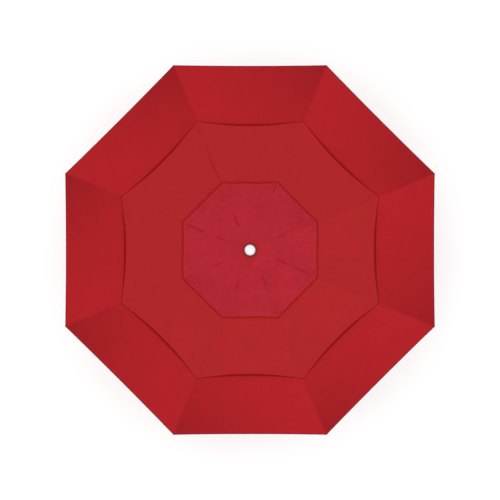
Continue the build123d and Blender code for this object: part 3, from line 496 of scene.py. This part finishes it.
for number in ribs:
    skirt = canopy_part(
        f"skirt_{number}", number, skirt_inner, skirt_hem, skirt_lift, skirt_lift, canvas,
        bow=0.005, tuck=0.008, sag=0.007, creases=skirt_creases,
    )
    seam = rib_seam(
        f"skirt_seam_{number}", number, skirt_inner + seam_set_in, skirt_hem - seam_short,
        skirt_lift, skirt_lift, canvas,
    )
    # rib pocket: a folded cup of the same canvas, bar-tacked under the corner
    bm = bmesh.new()
    bmesh.ops.create_grid(bm, x_segments=16, y_segments=8, size=1.0)
    hem_layer, mid_layer, cut_layer, turn_layer = sheet_layers(bm)
    for vert in bm.verts:
        bend = vert.co.x * math.pi * 0.62
        back = (1.0 - vert.co.y) / 2.0
        radius = pocket_mouth_r - pocket_long * back
        wide = 0.0086 + 0.0050 * back
        deep = 0.0125 + 0.0015 * back
        vert.co = (
            radius - 0.004 * math.cos(bend),
            wide * math.sin(bend),
            rib_height(radius) - 0.0068 - deep * math.cos(bend),
        )
        vert[hem_layer] = clear_of_hem
    lay_threads(bm, cut_layer, turn_layer, tone=0.5)
    face_up(bm)
    bmesh.ops.reverse_faces(bm, faces=bm.faces)
    turn_to_rib(bm, number)
    pocket = new_piece(f"rib_pocket_{number}", bm, canvas)
    add_cloth(pocket, pocket_thick)
    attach(pocket, f"rib_{number}")
    hang_on_rib(
        skirt, number,
        cad_node="canopy_skirt",
    )

# --- Canopy middle tier ------------------------------------------------------
# The same canvas over the top of the skirt. Its hem is tied down at the ribs and
# stands off between them, which leaves the wind vent. Its edge is painted dark, widest between the ribs, as
# the vent's shadow.
vent_canvas = canopy_finish(
    "vent_canvas",
    shaded=(0.334, 0.0137, 0.0162, 1.0),
    lit=(0.343, 0.0142, 0.0167, 1.0),
    crease_shade_tint=(0.145, 0.0038, 0.0048, 1.0),
    edge_shade_tint=(0.196, 0.0026, 0.0014, 1.0),
    edge_corner=0.0035,
    edge_mid=0.0160,
    mottle=0.03,
)
middle_inner, middle_hem = 0.385, 0.894
middle_lift, middle_hem_lift = 0.0020, 0.0070
saddle_r = 0.6326
middle_creases = {  # by rib: from and to radius, distance from the seam, bend, width and depth of each
    3: ((0.478, 0.705, 0.0085, 0.002, 0.0040, 1.0), (0.800, 0.890, 0.0085, 0.001, 0.0035, 0.8)),
}
for number in ribs:
    middle = canopy_part(
        f"middle_{number}", number, middle_inner, middle_hem, middle_lift, middle_hem_lift, vent_canvas,
        bow=0.023, vent=0.015, tuck=0.004, sag=0.004, creases=middle_creases.get(number, ()),
    )
    seam = rib_seam(
        f"middle_seam_{number}", number, middle_inner + seam_set_in, middle_hem - seam_short,
        middle_lift, middle_hem_lift, vent_canvas, saddle_r=saddle_r,
    )
    hang_on_rib(
        middle, number,
        cad_node="canopy_middle",
    )

# --- Canopy cap --------------------------------------------------------------
# The small top tier, of a slightly pinker lot of canvas. It is drawn in round the
# finial's stud, so it gathers, and creases lie beside its seams. Its stronger mottling and its creases carry
# painted shade.
cap_canvas = canopy_finish(
    "cap_canvas",
    shaded=(0.346, 0.0139, 0.0238, 1.0),
    lit=(0.358, 0.0149, 0.0252, 1.0),
    crease_shade_tint=(0.145, 0.0050, 0.0080, 1.0),
    edge_shade_tint=(0.256, 0.0070, 0.0075, 1.0),
    edge_corner=0.0115,
    edge_mid=0.0120,
    # stronger mottling: painted shade of the gathers
    mottle=0.105,
)
cap_inner, cap_hem = 0.043, 0.464
cap_lift, cap_hem_lift = 0.0120, 0.0075
cap_creases = {  # as for the middle tier
    1: ((0.180, 0.250, 0.0015, 0.004, 0.0045, 0.6), (0.370, 0.445, 0.0015, 0.003, 0.0070, 0.40)),
    2: ((0.385, 0.445, 0.0015, 0.003, 0.0040, 1.1),),
    3: ((0.160, 0.256, 0.0015, 0.011, 0.0045, 1.1),),
    4: ((0.160, 0.226, 0.0015, 0.004, 0.0050, 0.9), (0.300, 0.455, 0.0015, 0.004, 0.0070, 0.8)),
    5: ((0.175, 0.257, 0.0015, 0.006, 0.0045, 0.85), (0.385, 0.440, 0.0015, 0.004, 0.0060, 0.5)),
    6: ((0.188, 0.292, 0.0015, 0.010, 0.0045, 0.9), (0.400, 0.445, 0.0015, 0.005, 0.0050, 0.4)),
    7: ((0.180, 0.258, 0.0015, 0.009, 0.0045, 0.9), (0.398, 0.440, 0.0015, -0.003, 0.0045, 0.8)),
    8: ((0.176, 0.266, 0.0015, 0.009, 0.0045, 1.1), (0.290, 0.430, 0.0015, 0.004, 0.0080, 0.6)),
}
for number in ribs:
    cap = canopy_part(
        f"cap_{number}", number, cap_inner, cap_hem, cap_lift, cap_hem_lift, cap_canvas,
        bow=0.003, vent=0.006, sag=0.002, pull=0.0020, gathers=0.0042, waver=0.0045, fold_shade=0.15,
        creases=cap_creases[number],
    )
    hang_on_rib(
        cap, number,
        cad_node="canopy_cap",
    )

# --- Crown patch -------------------------------------------------------------
# A round doubling of the cap's canvas, clamped between the hub and the finial so
# that it stays level when the ribs fold.
cap_top = 2.4241
crown_r = 0.062
crown_hole_r = 0.010
crown_thick = 0.0010
bm = bmesh.new()
bmesh.ops.create_circle(bm, segments=96, radius=crown_hole_r)
rim = list(bm.edges)
for radius in (0.022, 0.034, 0.039, 0.044, 0.050, 0.055, 0.0585, 0.0597, 0.0609, crown_r):
    grown = bmesh.ops.extrude_edge_only(bm, edges=rim)["geom"]
    rim = [edge for edge in grown if isinstance(edge, bmesh.types.BMEdge)]
    for vert in {vert for edge in rim for vert in edge.verts}:
        flat_way = vert.co.xy.normalized() * radius
        vert.co = (flat_way.x, flat_way.y, 0.0)
hem_layer, mid_layer, cut_layer, turn_layer = sheet_layers(bm)
crease_layer = bm.verts.layers.float.new("crease")
for vert in bm.verts:
    radius = vert.co.xy.length
    round_axis = math.atan2(vert.co.y, vert.co.x)
    from_middle = (round_axis + half_gore) % (2.0 * half_gore) - half_gore
    corner_r = radius * math.cos(from_middle) / math.cos(half_gore)
    slope_z = rib_height(max(corner_r, pivot_r)) + 0.0137
    level_z = cap_top + 0.0002
    sloped = ease(radius, 0.030, 0.048)
    uneven = noise.noise(Vector((vert.co.x * 60.0, vert.co.y * 60.0, 1.7)))
    ripple = 0.0006 * uneven * ease(radius, 0.03, 0.06)
    vert.co.z = level_z * (1.0 - sloped) + min(slope_z, level_z) * sloped + ripple
    vert.co.z += 0.0007 * ease(radius, 0.0588, 0.0596) - 0.0009 * ease(radius, 0.0606, 0.062)
    vert[hem_layer] = clear_of_hem
    # painted shade on the cloth round the washer, darkest against it
    vert[crease_layer] = 0.75 * (1.0 - ease(radius, 0.041, 0.053))
for face in bm.faces:
    for loop in face.loops:
        loop[cut_layer].uv = (loop.vert.co.x, loop.vert.co.y)
        loop[turn_layer] = 0.4
face_up(bm)
crown = new_piece("crown_patch", bm, cap_canvas)
add_cloth(crown, crown_thick)
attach(crown, "upper_pole")
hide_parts("canopy_cap")

# --- Crown lining ------------------------------------------------------------
# Eight tongues of canvas under the cap, one over each rib. They are caught under
# the crown patch and keep the top closed when the canopy is furled.
lining_inner, lining_outer = 0.036, 0.330
lining_half_wide = 0.0270
lining_thick = 0.0008
for number in ribs:
    bm = bmesh.new()
    bmesh.ops.create_grid(bm, x_segments=14, y_segments=48, size=1.0)
    hem_layer, mid_layer, cut_layer, turn_layer = sheet_layers(bm)
    for vert in bm.verts:
        radius = lining_inner + (lining_outer - lining_inner) * (vert.co.y + 1.0) / 2.0
        narrow = 1.0 - 0.45 * ease(radius, 0.28, lining_outer)
        wide = min(lining_half_wide, radius * math.tan(half_gore) * 1.03) * narrow
        side = vert.co.x * wide
        corner_r = radius + abs(side) * math.tan(half_gore)
        droop = 0.0085 * vert.co.x**2 * ease(radius, 0.05, 0.12)
        z = rib_height(max(corner_r, pivot_r)) + 0.0085 - 0.0045 * ease(radius, 0.08, 0.22) - droop
        vert.co = (radius, side, z)
        vert[hem_layer] = clear_of_hem
    lay_threads(bm, cut_layer, turn_layer, tone=0.3)
    face_up(bm)
    turn_to_rib(bm, number)
    lining = new_piece(f"crown_lining_{number}", bm, cap_canvas)
    add_cloth(lining, lining_thick)
    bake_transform(lining)

# --- Crown washer ------------------------------------------------------------
# A dark red moulded rubber washer that the finial is screwed down on, so that its
# foot doesn't cut the cloth. Its near-black colour also paints the shadow ring round the finial's foot.
rubber = Finish("washer_rubber_and_painted_shadow", Roughness=0.6, Specular_IOR_Level=0.35)
speckle = grain(rubber, 420.0, 3.0)
rubber.wear("Base Color", mix(rubber, speckle, (0.070, 0.006, 0.012, 1.0), (0.120, 0.010, 0.020, 1.0)))
emboss(rubber, 0.3, 0.0003, speckle)
washer_profile = (  # radius, and rise over the washer's seat
    (0.0172, 0.0), (0.0172, 0.0019), (0.0195, 0.0024), (0.0370, 0.0024), (0.0398, 0.0016), (0.0404, 0.0),
)
washer_seat = cap_top + 0.0004
bm = bmesh.new()
ring = [bm.verts.new((radius, 0.0, washer_seat + rise)) for radius, rise in washer_profile]
for first, second in zip(ring, ring[1:] + ring[:1]):
    bm.edges.new((first, second))
bmesh.ops.spin(
    bm, geom=list(bm.verts) + list(bm.edges), cent=(0.0, 0.0, 0.0), axis=(0.0, 0.0, 1.0),
    angle=2.0 * math.pi, steps=96, use_merge=True,
)
bmesh.ops.remove_doubles(bm, verts=bm.verts, dist=1e-6)
bmesh.ops.recalc_face_normals(bm, faces=bm.faces)
washer = new_piece("crown_washer", bm, rubber)
soften = washer.modifiers.new("edge", "BEVEL")
soften.width = 0.0004
soften.segments = 2
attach(washer, "upper_pole")


# --- Painted tubes and stand -------------------------------------------------
# Ribs, struts, pole tubes, stem and the stand's cover: steel, blasted and given a
# white satin powder coat, with its fine orange peel and a little dust low down.
def wears(names, finish):
    """These CAD nodes take the finish."""
    for name in names:
        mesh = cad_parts[name].data
        mesh.materials.clear()
        mesh.materials.append(finish.material)


coat = Finish("white_powder_coat", Roughness=0.38, Coat_Weight=0.12, Coat_Roughness=0.25)
haze = grain(coat, 9.0, 6.0, Roughness=0.65)
scuff = grain(coat, 60.0, 8.0, Roughness=0.7)
over_ground = coat.node("SeparateXYZ", {"Vector": coat.spot}, out=2)
low_down = spread(coat, over_ground, 0.16, 0.0, 0.0, 0.22)
clean = mix(coat, haze, (0.610, 0.612, 0.600, 1.0), (0.680, 0.682, 0.672, 1.0))
dusty = sums(coat, "MULTIPLY", low_down, scuff)
coat.wear("Base Color", mix(coat, dusty, clean, (0.42, 0.39, 0.34, 1.0)))
coat.wear("Roughness", spread(coat, scuff, 0.35, 0.7, 0.32, 0.46))
emboss(coat, 0.12, 0.0004, grain(coat, 520.0, 2.0))
tubes = ["base_shell", "stem_tube", "lower_pole", "middle_pole", "upper_pole"]
tubes += [f"rib_{number}" for number in ribs] + [f"strut_{number}" for number in ribs]
wears(tubes, coat)

# --- Moulded plastic fittings ------------------------------------------------
# Hub, runner, tilt joint, crank housing, rib fittings and sleeve: white glass-filled
# nylon with a fine spark-eroded grain.
nylon = Finish("white_nylon", Roughness=0.5)
flow = grain(nylon, 24.0, 4.0)
nylon.wear("Base Color", mix(nylon, flow, (0.560, 0.556, 0.540, 1.0), (0.630, 0.626, 0.612, 1.0)))
nylon.wear("Roughness", spread(nylon, flow, 0.3, 0.7, 0.44, 0.58))
emboss(nylon, 0.25, 0.0002, grain(nylon, 900.0, 2.0))
moulded = ["stem_sleeve", "pole_cup", "crank_housing_front", "crank_housing_back", "tilt_socket", "tilt_head"]
moulded += ["top_hub", "top_pulley", "runner"] + [f"rib_{number}_fittings" for number in ribs]
wears(moulded, nylon)

# --- Finial, knob, grip and button -------------------------------------------
# Turned and polished white plastic, glossy all over, with faint swirl marks from
# handling, and a grey spot of painted reflection on top of the finial, round the axis.
polished = Finish("polished_white", Roughness=0.12, Coat_Weight=0.6, Coat_Roughness=0.04)
smear = grain(polished, 38.0, 7.0, Roughness=0.7, Distortion=1.2)
white = mix(polished, smear, (0.700, 0.698, 0.690, 1.0), (0.760, 0.760, 0.755, 1.0))
flattened = polished.node("VectorMath", {0: polished.spot, 1: (1.0, 1.0, 0.0)}, operation="MULTIPLY")
from_axis = polished.node("VectorMath", {0: flattened}, out=1, operation="LENGTH")
# painted reflection: a grey spot round the axis, on top of the finial
centre = spread(polished, from_axis, 0.0055, 0.0020, 0.0, 0.35)
polished.wear("Base Color", mix(polished, centre, white, (0.34, 0.34, 0.34, 1.0)))
polished.wear("Roughness", spread(polished, smear, 0.35, 0.7, 0.08, 0.22))
wears(["clamp_knob", "crank_grip", "finial", "tilt_button"], polished)

# --- Steel pins, bolts, screws and plate -------------------------------------
# Zinc-plated mild steel, drawn or turned, with fine scratches along its length.
# Four bolts hold the stem's flange down, and four screws close the crank's housing.
steel = Finish("plated_steel", Metallic=1.0, Roughness=0.32)
drawn = steel.node("Mapping", {"Vector": steel.spot, "Scale": (60.0, 900.0, 60.0)})
scratch = grain(steel, 1.0, 3.0, Vector=drawn)
bloom = grain(steel, 45.0, 5.0)
steel.wear("Base Color", mix(steel, bloom, (0.52, 0.52, 0.53, 1.0), (0.70, 0.70, 0.71, 1.0)))
steel.wear("Roughness", spread(steel, scratch, 0.3, 0.7, 0.24, 0.44))
emboss(steel, 0.15, 0.0001, scratch)
plated = ["base_plate", "stem_bolts", "pole_spigot", "housing_screws", "snap_button", "crank_shaft"]
plated += ["tilt_pins", "hub_pins", "runner_pins"]
wears(plated, steel)

# --- Crank arm ---------------------------------------------------------------
# A flat forged arm, seated on the crank's shaft and in one piece with the stud that
# the grip turns on. It has the frame's white enamel, rubbed a little thin.
enamel = Finish("arm_enamel", Roughness=0.3, Coat_Weight=0.3, Coat_Roughness=0.12)
rub = grain(enamel, 130.0, 8.0, Roughness=0.75)
thin = spread(enamel, rub, 0.66, 0.74, 0.0, 0.6)
enamel.wear("Base Color", mix(enamel, thin, (0.620, 0.620, 0.608, 1.0), (0.34, 0.34, 0.34, 1.0)))
enamel.wear("Roughness", spread(enamel, rub, 0.3, 0.7, 0.24, 0.40))
wears(["crank_arm"], enamel)

# --- Ballast -----------------------------------------------------------------
# Concrete, cast in one block that lies on the stand's plate, inside its cover, with
# sand grain and small air holes. The stem's bolts go down into it.
cast = Finish("cast_concrete", Roughness=0.92)
sand = grain(cast, 160.0, 8.0, Roughness=0.7)
holes = cast.node("TexVoronoi", {"Vector": cast.spot, "Scale": 70.0})
cast.wear("Base Color", mix(cast, sand, (0.30, 0.29, 0.27, 1.0), (0.50, 0.49, 0.46, 1.0)))
emboss(cast, 0.5, 0.001, spread(cast, holes, 0.05, 0.16))
wears(["base_ballast"], cast)

# --- Feet --------------------------------------------------------------------
# Six pads of black moulded rubber under the stand's plate, dusty where they meet
# the ground.
pad = Finish("foot_rubber", Roughness=0.8, Specular_IOR_Level=0.3)
dust = grain(pad, 180.0, 6.0)
pad.wear("Base Color", mix(pad, dust, (0.018, 0.018, 0.018, 1.0), (0.085, 0.080, 0.072, 1.0)))
emboss(pad, 0.3, 0.0003, dust)
wears(["base_feet"], pad)

# --- Lift cord ---------------------------------------------------------------
# Braided polyester cord, wound on the crank's spool, led up through the pole, over
# the hub's pulley and down to the runner. The spool has the cord's finish too.
braid = Finish("braided_cord", Roughness=0.85, Specular_IOR_Level=0.2)
leaning = braid.node("Mapping", {"Vector": braid.spot, "Rotation": (0.6, 0.5, 0.0)})
strands = {"Vector": leaning, "Scale": 160.0, "Distortion": 1.0}
strand = braid.node("TexWave", strands, out=1, wave_type="BANDS")
braid.wear("Base Color", mix(braid, strand, (0.52, 0.51, 0.48, 1.0), (0.80, 0.79, 0.76, 1.0)))
emboss(braid, 0.5, 0.0004, strand)
wears(["lift_cord_lower", "cord_spool", "lift_cord_upper"], braid)

# --- Final scene update ------------------------------------------------------
bpy.context.view_layer.update()
